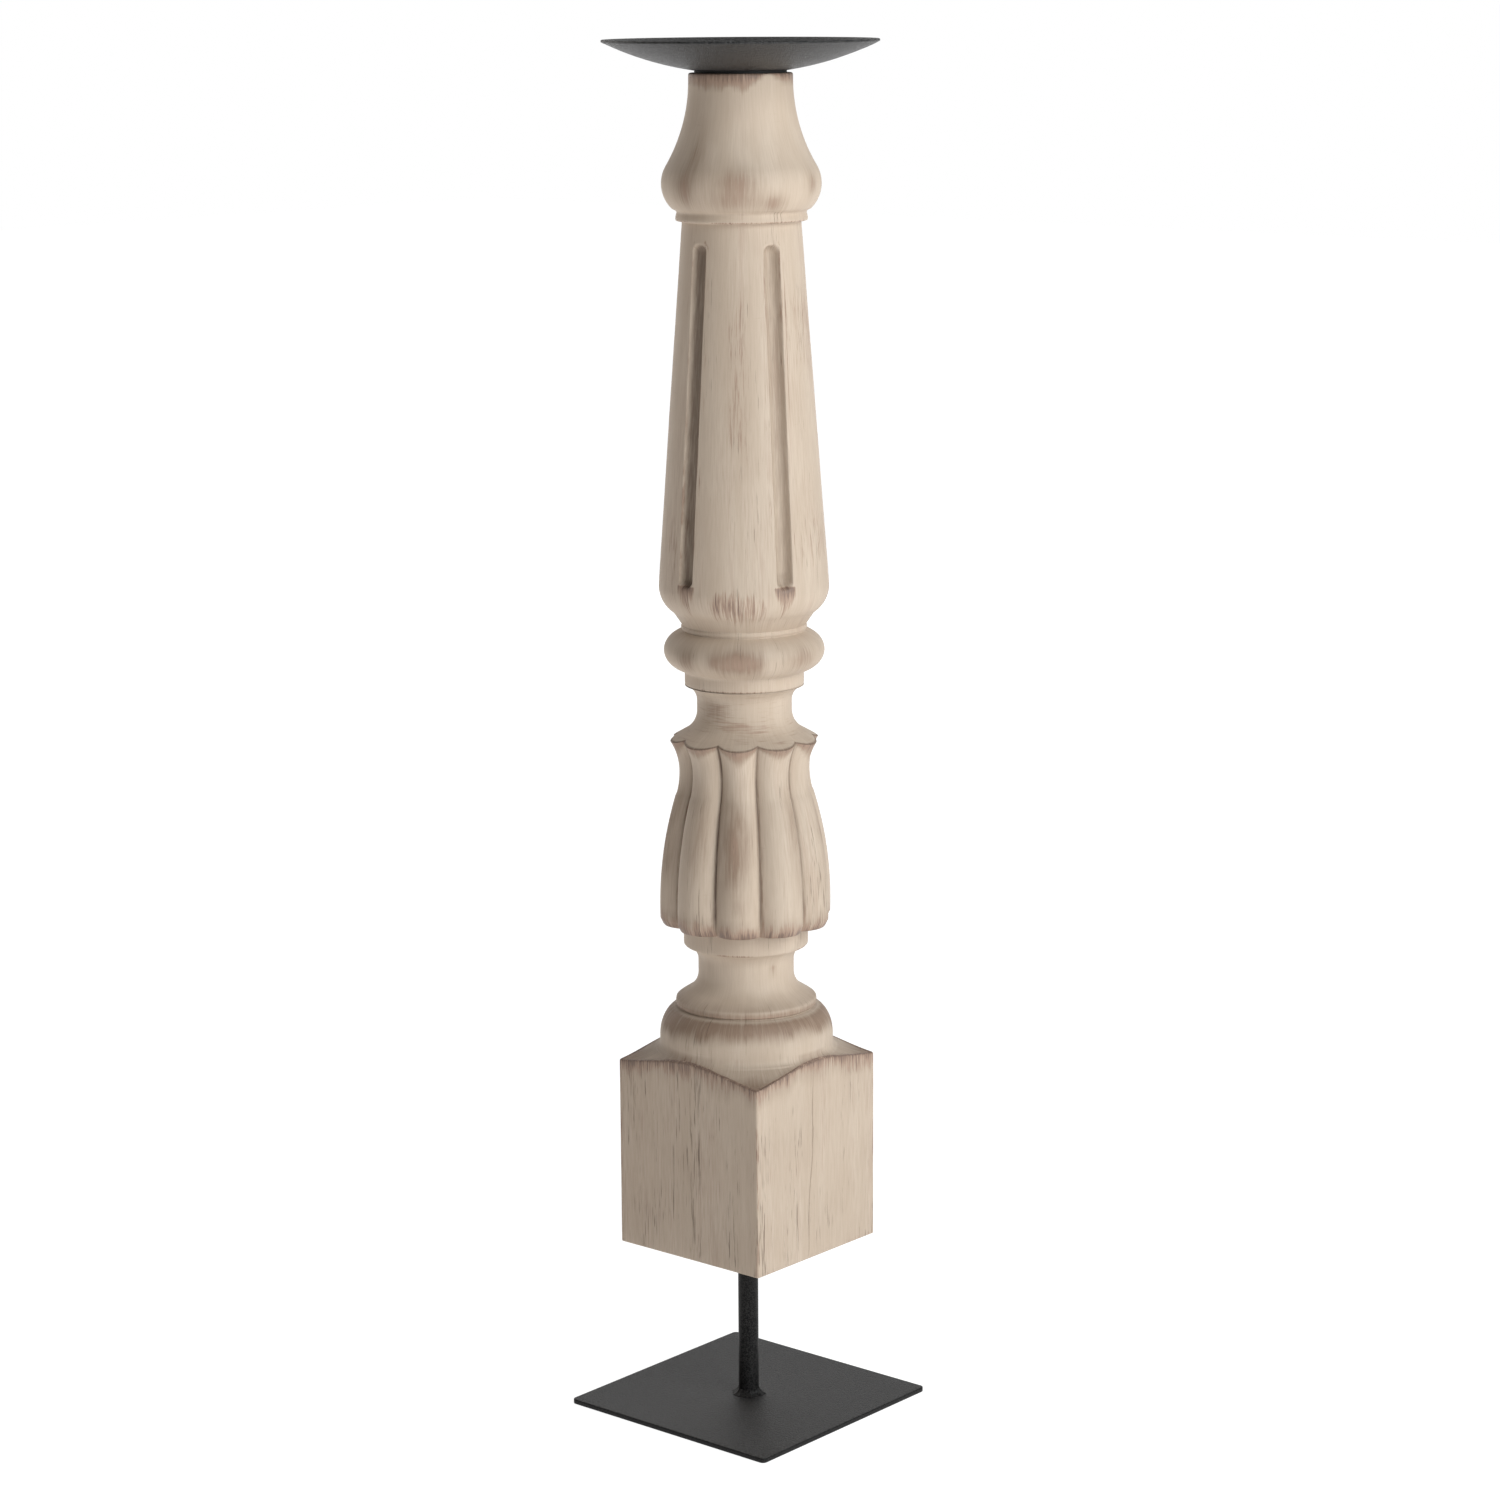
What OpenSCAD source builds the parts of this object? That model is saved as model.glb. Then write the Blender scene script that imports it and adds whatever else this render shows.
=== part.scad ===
// Turned wooden candlestick: a square-footed baluster held above a steel stand,
// with a pressed steel candle dish screwed to its top.
// Millimetres, +Z up, origin on the table under the middle of the base plate.

/* [Stand] */
// Side of the square base plate
plate_side = 100; // [90:1:140]
// Thickness of the base plate
plate_t = 2; // [1.5:0.5:4]
// Radius of the plate's corners, seen from above
plate_corner_r = 2; // [1:0.5:6]
// Clear height between the base plate and the block
stem_gap = 65; // [40:1:120]
// Diameter of the stem, threaded at its top end
stem_d = 8; // [8:1:9]
// Length of the stem's thread inside the block
stem_thread_l = 28; // [15:1:40]
// Leg of the weld fillet round the foot of the stem
weld_leg = 3; // [1.5:0.5:5]

/* [Threaded insert] */
// Outside diameter of the insert in the block
insert_d = 13; // [12:0.5:16]
// Diameter of the insert's flange, sunk into the underside of the block
insert_flange_d = 18; // [17:0.5:24]
// Thickness of that flange
insert_flange_t = 1.5; // [1:0.5:3]

/* [Block, levels marked from its underside] */
// Side of the square block, which is the size of the timber
block_side = 71; // [69:0.5:75]
// Height of the block at its four corners
block_h = 74.5; // [60:0.5:76]
// Rise of the turned shoulder from a corner to the middle of a side
shoulder_rise = 4.6; // [3.6:0.1:5]

/* [Base mouldings, levels marked from the underside of the block] */
// Radius of the half round that stands on the block
base_round_r = 33.8; // [33:0.1:34.3]
// Level where the half round leaves the shoulder
base_round_foot = 82; // [81.5:0.5:83]
// Level of the top of the half round
base_round_top = 95.9; // [95.5:0.1:96.3]
// Radius of the lip under the lower cove
lip_r = 27.4; // [26.5:0.1:28]
// Level of the upper edge of the lip
lip_top = 99.3; // [99:0.1:99.8]
// Radius of the neck in the lower cove
low_cove_r = 18.6; // [18:0.1:20]
// Level of the top of the lower cove
low_cove_top = 120.1; // [119.6:0.1:120.4]
// Radius of the band under the reeded bulb
low_band_r = 24.2; // [23.5:0.1:25]

/* [Reeded bulb] */
// Number of reeds round the bulb
reed_count = 10; // [8:1:14]
// Radius over the reeds at the belly of the bulb
bulb_r = 33.8; // [33:0.1:34.5]
// Radius over the reeds at the waist near the top
bulb_waist_r = 25.6; // [25:0.1:26.5]
// Depth of the valleys as a share of the radius
reed_depth = 0.13; // [0.05:0.01:0.15]
// Level of the flat underside of the bulb
bulb_foot = 129.2; // [128.6:0.1:129.6]
// Level of the bulb's widest place
bulb_belly = 137; // [136:0.5:138]
// Level of the bulb's waist
bulb_waist = 189.5; // [189:0.5:190]

/* [Upper mouldings, levels marked from the underside of the block] */
// Radius of the neck in the upper cove
high_cove_r = 18.2; // [18:0.1:19.5]
// Level of the top of the upper cove
high_cove_top = 222.9; // [222.4:0.1:223.2]
// Radius of the band above the upper cove
high_band_r = 22.9; // [22.5:0.1:23.5]
// Radius over the large ring
ring_r = 30.9; // [30:0.1:31.5]
// Level of the middle of the large ring
ring_level = 236.3; // [236:0.1:236.6]
// Radius of the narrow fillet between the ring and the shaft
fillet_r = 24.2; // [23.5:0.1:24.8]

/* [Fluted shaft] */
// Radius at the foot of the shaft, its widest place
shaft_foot_r = 32.6; // [31.8:0.1:33]
// Radius at the top of the shaft, under the collar
shaft_top_r = 22.4; // [21.5:0.1:23]
// Level of the top of the shaft
shaft_top = 399.4; // [399:0.1:399.7]
// Number of flutes round the shaft
flute_count = 5; // [3:1:8]
// Width of one flute at the surface
flute_w = 7; // [4:0.5:9]
// Depth of one flute
flute_depth = 3.4; // [1.5:0.1:3.5]
// Level of the lower end of the flutes
flute_foot = 263.5; // [262:0.5:280]
// Level of the upper end of the flutes
flute_top = 391.5; // [360:0.5:392]

/* [Collar and vase] */
// Radius of the collar between the shaft and the vase
collar_r = 24.9; // [24:0.1:25.3]
// Radius of the vase at its belly
vase_belly_r = 30.1; // [29.5:0.1:30.5]
// Level of the vase's belly
vase_belly = 413.2; // [413:0.1:413.5]
// Radius of the vase's neck at the top of the post
vase_neck_r = 19.6; // [19:0.1:20]
// Height of the whole wooden post
post_h = 454; // [453:0.5:456]

/* [Candle dish] */
// Diameter over the rim of the dish
dish_d = 104; // [90:1:120]
// Thickness of the sheet that the dish is pressed from
dish_t = 1.2; // [0.8:0.1:1.6]
// Radius of the flat floor that takes the candle
dish_floor_r = 18; // [16:0.5:20]
// Radius of the sphere that the underside of the dish follows
dish_bowl_r = 120; // [90:1:200]
// Diameter of the spacer washer under the dish
spacer_d = 34.6; // [28:0.2:35.6]
// Thickness of the spacer washer
spacer_t = 0.9; // [0.9:0.1:1.5]

/* [Dish screw] */
// Diameter of the screw's countersunk head
screw_head_d = 9; // [8:0.5:10]
// Outside diameter of the screw's thread
screw_d = 4.5; // [4:0.5:5]
// Length of the screw below the floor of the dish
screw_l = 35; // [20:1:45]

/* [Hidden] */
$fn = 96;

coat_colour = [0.10, 0.10, 0.11];
wood_colour = [0.78, 0.71, 0.62];
zinc_colour = [0.70, 0.71, 0.72];
rubber_colour = [0.05, 0.05, 0.05];

// Levels above the table
block_z = plate_t + stem_gap;
post_top_z = block_z + post_h;
dish_z = post_top_z + spacer_t;
dish_floor_z = dish_z + dish_t;
stem_top_z = block_z + stem_thread_l;

// Thread of the stem, drawn as plain ridges one pitch apart
stem_pitch = 1.25;
stem_thread_depth = 0.7;
stem_chamfer = 1;
stem_thread_start = 2;
thread_gap = 0.03;
insert_l = stem_thread_l + 3;
insert_groove = 0.8;
insert_groove_pitch = 3;
insert_groove_land = 0.6;
insert_plain_l = 2;

// Screw: room round it in the pieces that it passes through, and the shape of its point
screw_gap = 0.02;
screw_tip_r = 0.6;
screw_point_l = 6;
dish_lip = 0.4;

// Weld: a hollow fillet
weld_hollow_shift = 0.4;
weld_toe_angle = 254;
weld_top_angle = 196;

// Mouldings whose shape follows their neighbours
corner_r = block_side / 2 * sqrt(2);
shoulder_foot_slope = 7;
foot_fillet_r = 2.6;
blank_corner_r = 55;
round_depth = 8;
round_centre_rise = 2;
round_end = 72;
quirk = 0.5;
lip_step = 0.6;
lip_ease = 0.3;
edge_round = 0.8;
low_cove_r_below = 8;
low_cove_slope = 30;
low_cove_r_above = 6;
cove_top_angle = 105;
flare_slope = 30;
flare_cove_r = 9;
flare_cove_level = bulb_waist + 23.3;
high_cove_rise_r = 6.3;
belly_bend_r = 145;
waist_bend_r = 32;
mouth_bend_r = 22;
mouth_start_angle = 174;
mouth_end_angle = 136;
crest_foot_angle = -2.4;
reed_foot_steps = [[-2.2, -0.5], [-1.2, 0.4], [-0.4, 1.4]];
ring_depth = 11;
ring_half_h = 8.3;
fillet_h = 1.6;
fillet_step = 0.6;
fillet_ease = 0.5;
shaft_bend_r = 12;
shaft_belly_rise = 15;
shaft_foot_angle = -48;
vase_belly_bend_r = 13;
vase_neck_bend_r = 62.5;
collar_h = 3;
collar_ease = 0.4;
collar_taper = 0.5;
vase_foot_angle = -42;
blank_r = 36;
cutter_r = 42;

// Points along a circular arc, with angles measured from the outward side
function arc(centre, radius, from, to, steps) =
    [for (i = [0:steps]) let (a = from + (to - from) * i / steps)
        centre + radius * [cos(a), sin(a)]];

// Points along an arc of an ellipse
function oval(centre, radii, from, to, steps) =
    [for (i = [0:steps]) let (a = from + (to - from) * i / steps)
        centre + [radii.x * cos(a), radii.y * sin(a)]];

// Outline of the block and its shoulder, a hollow bend that passes through the corners
// and rises to the middle of each side
shoulder_run = [corner_r - block_side / 2, shoulder_rise];
shoulder_bend_r = norm(shoulder_run)
    / (2 * sin(atan2(shoulder_run.y, shoulder_run.x) - shoulder_foot_slope));
shoulder_centre = [corner_r + shoulder_bend_r * sin(shoulder_foot_slope),
                   block_h + shoulder_bend_r * cos(shoulder_foot_slope)];
foot_fillet_x = base_round_r + foot_fillet_r;
foot_fillet_level = shoulder_centre.y - sqrt(pow(shoulder_bend_r - foot_fillet_r, 2)
                                             - pow(shoulder_centre.x - foot_fillet_x, 2));
shoulder_start = -90 - asin((shoulder_centre.x - blank_corner_r) / shoulder_bend_r);
shoulder_end = -180 + atan2(shoulder_centre.y - foot_fillet_level,
                            shoulder_centre.x - foot_fillet_x);
function shoulder_outline() = concat(
    [[0, 0], [blank_corner_r, 0]],
    arc(shoulder_centre, shoulder_bend_r, shoulder_start, shoulder_end, 10),
    arc([foot_fillet_x, foot_fillet_level], foot_fillet_r, shoulder_end, -180, 6));

// Outline of the half round, its quirk and the lip above it
round_centre = [base_round_r - round_depth, base_round_foot + round_centre_rise];
function base_outline() = concat(
    oval(round_centre, [round_depth, base_round_top - round_centre.y], 0, round_end, 9),
    [[lip_r - lip_step, base_round_top], [lip_r - lip_step, base_round_top + quirk],
     [lip_r, base_round_top + 2 * quirk], [lip_r, lip_top - lip_step],
     [lip_r - lip_ease, lip_top]]);

// Outline of the lower cove and the band above it
low_cove_foot_x = low_cove_r + low_cove_r_below * (1 - sin(low_cove_slope));
low_cove_level = lip_top + (lip_r - low_cove_foot_x) * tan(low_cove_slope)
    + low_cove_r_below * cos(low_cove_slope);
function low_cove_outline() = concat(
    arc([low_cove_r + low_cove_r_below, low_cove_level], low_cove_r_below,
        270 - low_cove_slope, 180, 8),
    arc([low_cove_r + low_cove_r_above, low_cove_top - low_cove_r_above], low_cove_r_above,
        180, cove_top_angle, 8),
    [[low_band_r - edge_round, low_cove_top], [low_band_r, low_cove_top + edge_round],
     [low_band_r, bulb_foot]]);

// Outline of the blank that the reeds are carved from, up to the flared cove
function bulb_blank_outline() = let (
    centre = [high_cove_r + flare_cove_r, flare_cove_level],
    tip = centre + flare_cove_r * [-sin(flare_slope), -cos(flare_slope)],
    rim_level = tip.y - (blank_r - tip.x) * tan(flare_slope))
    concat([[blank_r, bulb_foot], [blank_r, rim_level]],
           arc(centre, flare_cove_r, 270 - flare_slope, 180, 7));

// Outline of the upper cove's top and the band above it
function high_cove_outline() = concat(
    arc([high_cove_r + high_cove_rise_r, high_cove_top - high_cove_rise_r],
        high_cove_rise_r, 180, cove_top_angle, 8),
    [[high_band_r - edge_round, high_cove_top], [high_band_r, high_cove_top + edge_round]]);

// Outline of the large ring and the fillet above it
ring_centre = [ring_r - ring_depth, ring_level];
ring_foot_angle = acos((high_band_r - ring_centre.x) / ring_depth);
ring_top_angle = acos((fillet_r - fillet_step - ring_centre.x) / ring_depth);
function ring_outline() = concat(
    oval(ring_centre, [ring_depth, ring_half_h], -ring_foot_angle, ring_top_angle, 20),
    [[fillet_r, shaft_foot - fillet_h + fillet_ease], [fillet_r, shaft_foot]]);

// Outline of the shaft: rounded foot, then one straight taper
shaft_foot = ring_level + ring_half_h + fillet_h;
shaft_belly = shaft_foot + shaft_belly_rise;
function shaft_outline() = concat(
    [[fillet_r - fillet_step, shaft_foot + fillet_ease]],
    arc([shaft_foot_r - shaft_bend_r, shaft_belly], shaft_bend_r, shaft_foot_angle, 0, 9),
    [[shaft_top_r, shaft_top]]);

// Outline of the collar and of the vase, two arcs that meet without a corner
belly_centre = [vase_belly_r - vase_belly_bend_r, vase_belly];
neck_centre = [vase_neck_r + vase_neck_bend_r, vase_belly
    + sqrt(pow(vase_belly_bend_r + vase_neck_bend_r, 2)
           - pow(vase_neck_r + vase_neck_bend_r - belly_centre.x, 2))];
vase_meet = atan2(neck_centre.y - belly_centre.y, neck_centre.x - belly_centre.x);
function vase_outline() = concat(
    [[collar_r - collar_ease, shaft_top], [collar_r, shaft_top + collar_ease],
     [collar_r - collar_taper, shaft_top + collar_h],
     [collar_r, shaft_top + collar_h + collar_ease]],
    arc(belly_centre, vase_belly_bend_r, vase_foot_angle, vase_meet, 12),
    arc(neck_centre, vase_neck_bend_r, 180 + vase_meet, 180, 9),
    [[vase_neck_r, post_h - edge_round], [vase_neck_r - edge_round, post_h], [0, post_h]]);

function post_outline() = concat(
    shoulder_outline(), base_outline(), low_cove_outline(), bulb_blank_outline(),
    high_cove_outline(), ring_outline(), shaft_outline(), vase_outline());

// Radius over the reeds at each level of the bulb, as points of an outline
crest_belly = [bulb_r - belly_bend_r, bulb_belly];
crest_waist = [bulb_waist_r + waist_bend_r, bulb_waist];
crest_meet = atan2(crest_waist.y - crest_belly.y, crest_waist.x - crest_belly.x);
crest_outline = concat(
    [for (step = reed_foot_steps) [bulb_r, bulb_foot] + step],
    arc(crest_belly, belly_bend_r, crest_foot_angle, crest_meet, 9),
    arc(crest_waist, waist_bend_r, 180 + crest_meet, 180, 5),
    arc([bulb_waist_r + mouth_bend_r, bulb_waist], mouth_bend_r,
        mouth_start_angle, mouth_end_angle, 6));

// Share of the crest's radius at an angle from the crest, each reed being one round
reed_half = 180 / reed_count;
valley_share = 1 - reed_depth;
reed_half_w = valley_share * sin(reed_half);
reed_rise = 1 - valley_share * cos(reed_half);
reed_round = (pow(reed_half_w, 2) + pow(reed_rise, 2)) / (2 * reed_rise);
reed_offset = 1 - reed_round;
function reed_share(a) =
    reed_offset * cos(a) + sqrt(pow(reed_round, 2) - pow(reed_offset * sin(a), 2));

// Everything outside the reeds, as a ring that carves them from the blank
reed_steps = 6;
around = reed_count * reed_steps;
module reed_cutter() {
    rings = len(crest_outline);
    inner = [for (p = crest_outline) for (i = [0:around - 1])
        let (in_reed = (i % reed_steps) / reed_steps - 0.5,
             a = 360 * i / around - reed_half,
             r = p.x * reed_share(in_reed * 2 * reed_half))
        [r * sin(a), -r * cos(a), p.y]];
    outer = [for (level = [crest_outline[0].y, crest_outline[rings - 1].y])
        for (i = [0:around - 1]) let (a = 360 * i / around - reed_half)
        [cutter_r * sin(a), -cutter_r * cos(a), level]];
    top = (rings - 1) * around;
    out_foot = rings * around;
    out_top = out_foot + around;
    function next(i) = (i + 1) % around;
    polyhedron(points = concat(inner, outer), faces = concat(
        [for (k = [0:rings - 2]) for (i = [0:around - 1])
            each [[k * around + i, k * around + next(i), (k + 1) * around + i],
                  [k * around + next(i), (k + 1) * around + next(i), (k + 1) * around + i]]],
        [for (i = [0:around - 1])
            [out_foot + i, out_top + i, out_top + next(i), out_foot + next(i)]],
        [for (i = [0:around - 1])
            [top + i, top + next(i), out_top + next(i), out_top + i]],
        [for (i = [0:around - 1])
            [i, out_foot + i, out_foot + next(i), next(i)]]));
}

// A round-ended cutter that lies along the tapered shaft
flute_tool_r = (pow(flute_w / 2, 2) + pow(flute_depth, 2)) / (2 * flute_depth);
taper = atan((shaft_foot_r - shaft_top_r) / (shaft_top - shaft_belly));
flute_run = (flute_top - flute_foot) / cos(taper) - flute_w;
module flute_cutter() {
    foot_r = shaft_foot_r - (flute_foot + flute_w / 2 - shaft_belly) * tan(taper);
    translate([0, -(foot_r + flute_tool_r - flute_depth), flute_foot + flute_w / 2])
        rotate([-taper, 0, 0])
            rotate_extrude($fn = 32)
                polygon(concat(
                    arc([0, 0], flute_tool_r, -90, 0, 8),
                    arc([0, flute_run], flute_tool_r, 0, 90, 8)));
}

// Outline of a rod with ridges from one level to another, on its outer side
function ridges(r, depth, pitch, from, to) =
    [for (i = [0:floor((to - from) / pitch) - 1])
        each [[r - depth, from + (i + 0.5) * pitch], [r, from + (i + 1) * pitch]]];

module base_plate() {
    color(coat_colour) difference() {
        translate([-plate_side / 2, -plate_side / 2, 0])
            cube([plate_side, plate_side, plate_t]);
        for (turn = [0:90:270]) rotate(turn)
            translate([plate_side / 2 - plate_corner_r, plate_side / 2 - plate_corner_r, -1])
                difference() {
                    cube([plate_corner_r + 1, plate_corner_r + 1, plate_t + 2]);
                    translate([0, 0, -1])
                        cylinder(r = plate_corner_r, h = plate_t + 4, $fn = 48);
                }
    }
}

stem_thread_outline = concat(
    [[stem_d / 2, block_z + stem_thread_start]],
    ridges(stem_d / 2, stem_thread_depth, stem_pitch, block_z + stem_thread_start,
           stem_top_z - stem_chamfer));

module stem_rod() {
    color(coat_colour) rotate_extrude()
        polygon(concat([[0, plate_t], [stem_d / 2, plate_t]], stem_thread_outline,
                       [[stem_d / 2 - stem_chamfer, stem_top_z], [0, stem_top_z]]));
}

module stem_weld() {
    toe = [stem_d / 2 + weld_leg, plate_t];
    hollow_r = 1.4 * weld_leg;
    hollow = arc([toe.x + weld_hollow_shift * weld_leg, plate_t + hollow_r], hollow_r,
                 weld_toe_angle, weld_top_angle, 5);
    color(coat_colour) rotate_extrude()
        polygon(concat([[stem_d / 2, plate_t], toe], hollow,
                       [[stem_d / 2, plate_t + weld_leg]]));
}

module threaded_insert() {
    grooves = floor((insert_l - insert_flange_t - 3) / insert_groove_pitch);
    outside = [for (i = [0:grooves - 1]) let (z = block_z + insert_flange_t + insert_plain_l
                                                  + i * insert_groove_pitch)
        each [[insert_d / 2, z], [insert_d / 2 - insert_groove, z],
              [insert_d / 2, z + insert_groove_pitch - insert_groove_land]]];
    bore = [for (i = [len(stem_thread_outline) - 1:-1:0])
        stem_thread_outline[i] + [thread_gap, 0]];
    color(zinc_colour) rotate_extrude()
        polygon(concat(
            [[stem_d / 2 + thread_gap, block_z], [insert_flange_d / 2, block_z],
             [insert_flange_d / 2, block_z + insert_flange_t],
             [insert_d / 2, block_z + insert_flange_t]],
            outside,
            [[insert_d / 2, block_z + insert_l], [stem_d / 2 + thread_gap, block_z + insert_l]],
            bore));
}

module screw_outline(gap = 0) {
    head_h = (screw_head_d - screw_d) / 2;
    shank_z = dish_floor_z - head_h;
    tip_z = dish_floor_z - screw_l;
    polygon([[0, tip_z - gap], [screw_tip_r, tip_z], [screw_d / 2 + gap, tip_z + screw_point_l],
             [screw_d / 2 + gap, shank_z], [screw_head_d / 2 + gap, dish_floor_z],
             [0, dish_floor_z]]);
}

module turned_post() {
    color(wood_colour) translate([0, 0, block_z]) difference() {
        intersection() {
            rotate_extrude() polygon(post_outline());
            translate([-block_side / 2, -block_side / 2, 0])
                cube([block_side, block_side, post_h]);
        }
        reed_cutter();
        for (i = [0:flute_count - 1]) rotate(360 * i / flute_count) flute_cutter();
        translate([0, 0, -1]) cylinder(d = insert_d, h = insert_l + 1);
        translate([0, 0, -1]) cylinder(d = insert_flange_d, h = insert_flange_t + 1);
        translate([0, 0, -block_z]) rotate_extrude() screw_outline(screw_gap);
    }
}

module spacer_washer() {
    color(rubber_colour) difference() {
        translate([0, 0, post_top_z]) cylinder(d = spacer_d, h = spacer_t);
        rotate_extrude() screw_outline(screw_gap);
    }
}

bowl_centre_z = dish_z + sqrt(pow(dish_bowl_r, 2) - pow(dish_floor_r, 2));
dish_start = -acos(dish_floor_r / dish_bowl_r);
dish_end = -acos((dish_d / 2 - dish_lip) / dish_bowl_r);
module candle_dish() {
    inner_start = -acos(dish_floor_r / (dish_bowl_r - dish_t));
    inner_lift = dish_floor_z
        - (bowl_centre_z + (dish_bowl_r - dish_t) * sin(inner_start));
    color(coat_colour) difference() {
        rotate_extrude($fn = 128) polygon(concat(
            [[0, dish_z]],
            arc([0, bowl_centre_z], dish_bowl_r, dish_start, dish_end, 14),
            [[dish_d / 2, bowl_centre_z + dish_bowl_r * sin(dish_end) + dish_lip]],
            arc([0, bowl_centre_z + inner_lift], dish_bowl_r - dish_t,
                dish_end, inner_start, 14),
            [[0, dish_floor_z]]));
        rotate_extrude() screw_outline(screw_gap);
    }
}

module dish_screw() {
    recess_w = 1.1;
    recess_l = screw_head_d * 0.5;
    recess_depth = 1.6;
    color(zinc_colour) difference() {
        rotate_extrude() screw_outline();
        for (turn = [0, 90]) rotate(turn)
            translate([-recess_l / 2, -recess_w / 2, dish_floor_z - recess_depth])
                cube([recess_l, recess_w, recess_depth + 1]);
    }
}

base_plate();
stem_rod();
stem_weld();
threaded_insert();
turned_post();
spacer_washer();
candle_dish();
dish_screw();
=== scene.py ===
# Wooden candlestick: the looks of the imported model, in metres and in its own frame.
import math
import bpy
import numpy as np
from mathutils import Matrix, Vector


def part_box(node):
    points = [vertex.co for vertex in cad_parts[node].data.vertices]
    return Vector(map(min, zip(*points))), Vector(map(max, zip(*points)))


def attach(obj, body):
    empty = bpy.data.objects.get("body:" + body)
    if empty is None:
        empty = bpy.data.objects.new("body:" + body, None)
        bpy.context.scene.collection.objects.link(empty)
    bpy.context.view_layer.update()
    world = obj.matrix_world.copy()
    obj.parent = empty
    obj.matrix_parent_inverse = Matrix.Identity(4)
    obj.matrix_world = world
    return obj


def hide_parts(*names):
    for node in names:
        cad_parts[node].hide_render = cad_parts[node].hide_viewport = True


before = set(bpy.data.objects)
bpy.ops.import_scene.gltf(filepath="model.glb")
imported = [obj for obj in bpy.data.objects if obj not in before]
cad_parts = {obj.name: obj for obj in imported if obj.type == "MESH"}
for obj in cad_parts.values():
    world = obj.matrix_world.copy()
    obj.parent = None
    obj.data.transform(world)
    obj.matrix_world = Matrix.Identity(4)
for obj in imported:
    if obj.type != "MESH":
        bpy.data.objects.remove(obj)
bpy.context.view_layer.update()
MM = 0.001
FRONT = 40.5                     # angle that the photograph looks from


def box_mm(node):
    lo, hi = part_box(node)
    return np.array(lo) * 1000, np.array(hi) * 1000


# ---------------------------------------------------------------- camera, light and floor
PITCH, ROLL = 11.457, -0.347      # of the camera, in degrees
CAMERA_DIST, CAMERA_HEIGHT, CAMERA_SIDE = 1.44366, 0.5562, 0.002
LAMP_AIM = 0.27                   # level that the lamps point at


def add_object(name, data):
    obj = bpy.data.objects.new(name, data)
    bpy.context.collection.objects.link(obj)
    return obj


def turned(angle, dist, height):
    """The point at an angle round the post, a distance from it and a height."""
    a = math.radians(angle)
    return Vector((dist * math.sin(a), -dist * math.cos(a), height))


def make_camera():
    az, pitch, roll = map(math.radians, (FRONT, PITCH, ROLL))
    right = Vector((math.cos(az), math.sin(az), 0))
    ahead = Vector((-math.sin(az) * math.cos(pitch), math.cos(az) * math.cos(pitch),
                    -math.sin(pitch)))
    up = right.cross(ahead)
    x = right * math.cos(roll) + up * math.sin(roll)
    y = up * math.cos(roll) - right * math.sin(roll)
    data = bpy.data.cameras.new("camera")
    data.sensor_width, data.lens = 36, 91.666
    data.clip_start, data.clip_end = 0.05, 60
    cam = add_object("camera", data)
    m = Matrix((x, y, -ahead)).transposed().to_4x4()
    m.translation = turned(FRONT, CAMERA_DIST, CAMERA_HEIGHT) + right * CAMERA_SIDE
    cam.matrix_world = m
    bpy.context.scene.camera = cam


def softbox(name, angle, dist, height, width, tall, watts, tint=(1, 1, 1)):
    data = bpy.data.lights.new(name, "AREA")
    data.shape, data.size, data.size_y = "RECTANGLE", width, tall
    data.energy, data.color = watts, tint
    lamp = add_object(name, data)
    lamp.location = turned(angle, dist, height)
    aim = Vector((0, 0, LAMP_AIM)) - lamp.location
    lamp.rotation_euler = aim.to_track_quat("-Z", "Y").to_euler()
    lamp.visible_camera = False


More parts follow.
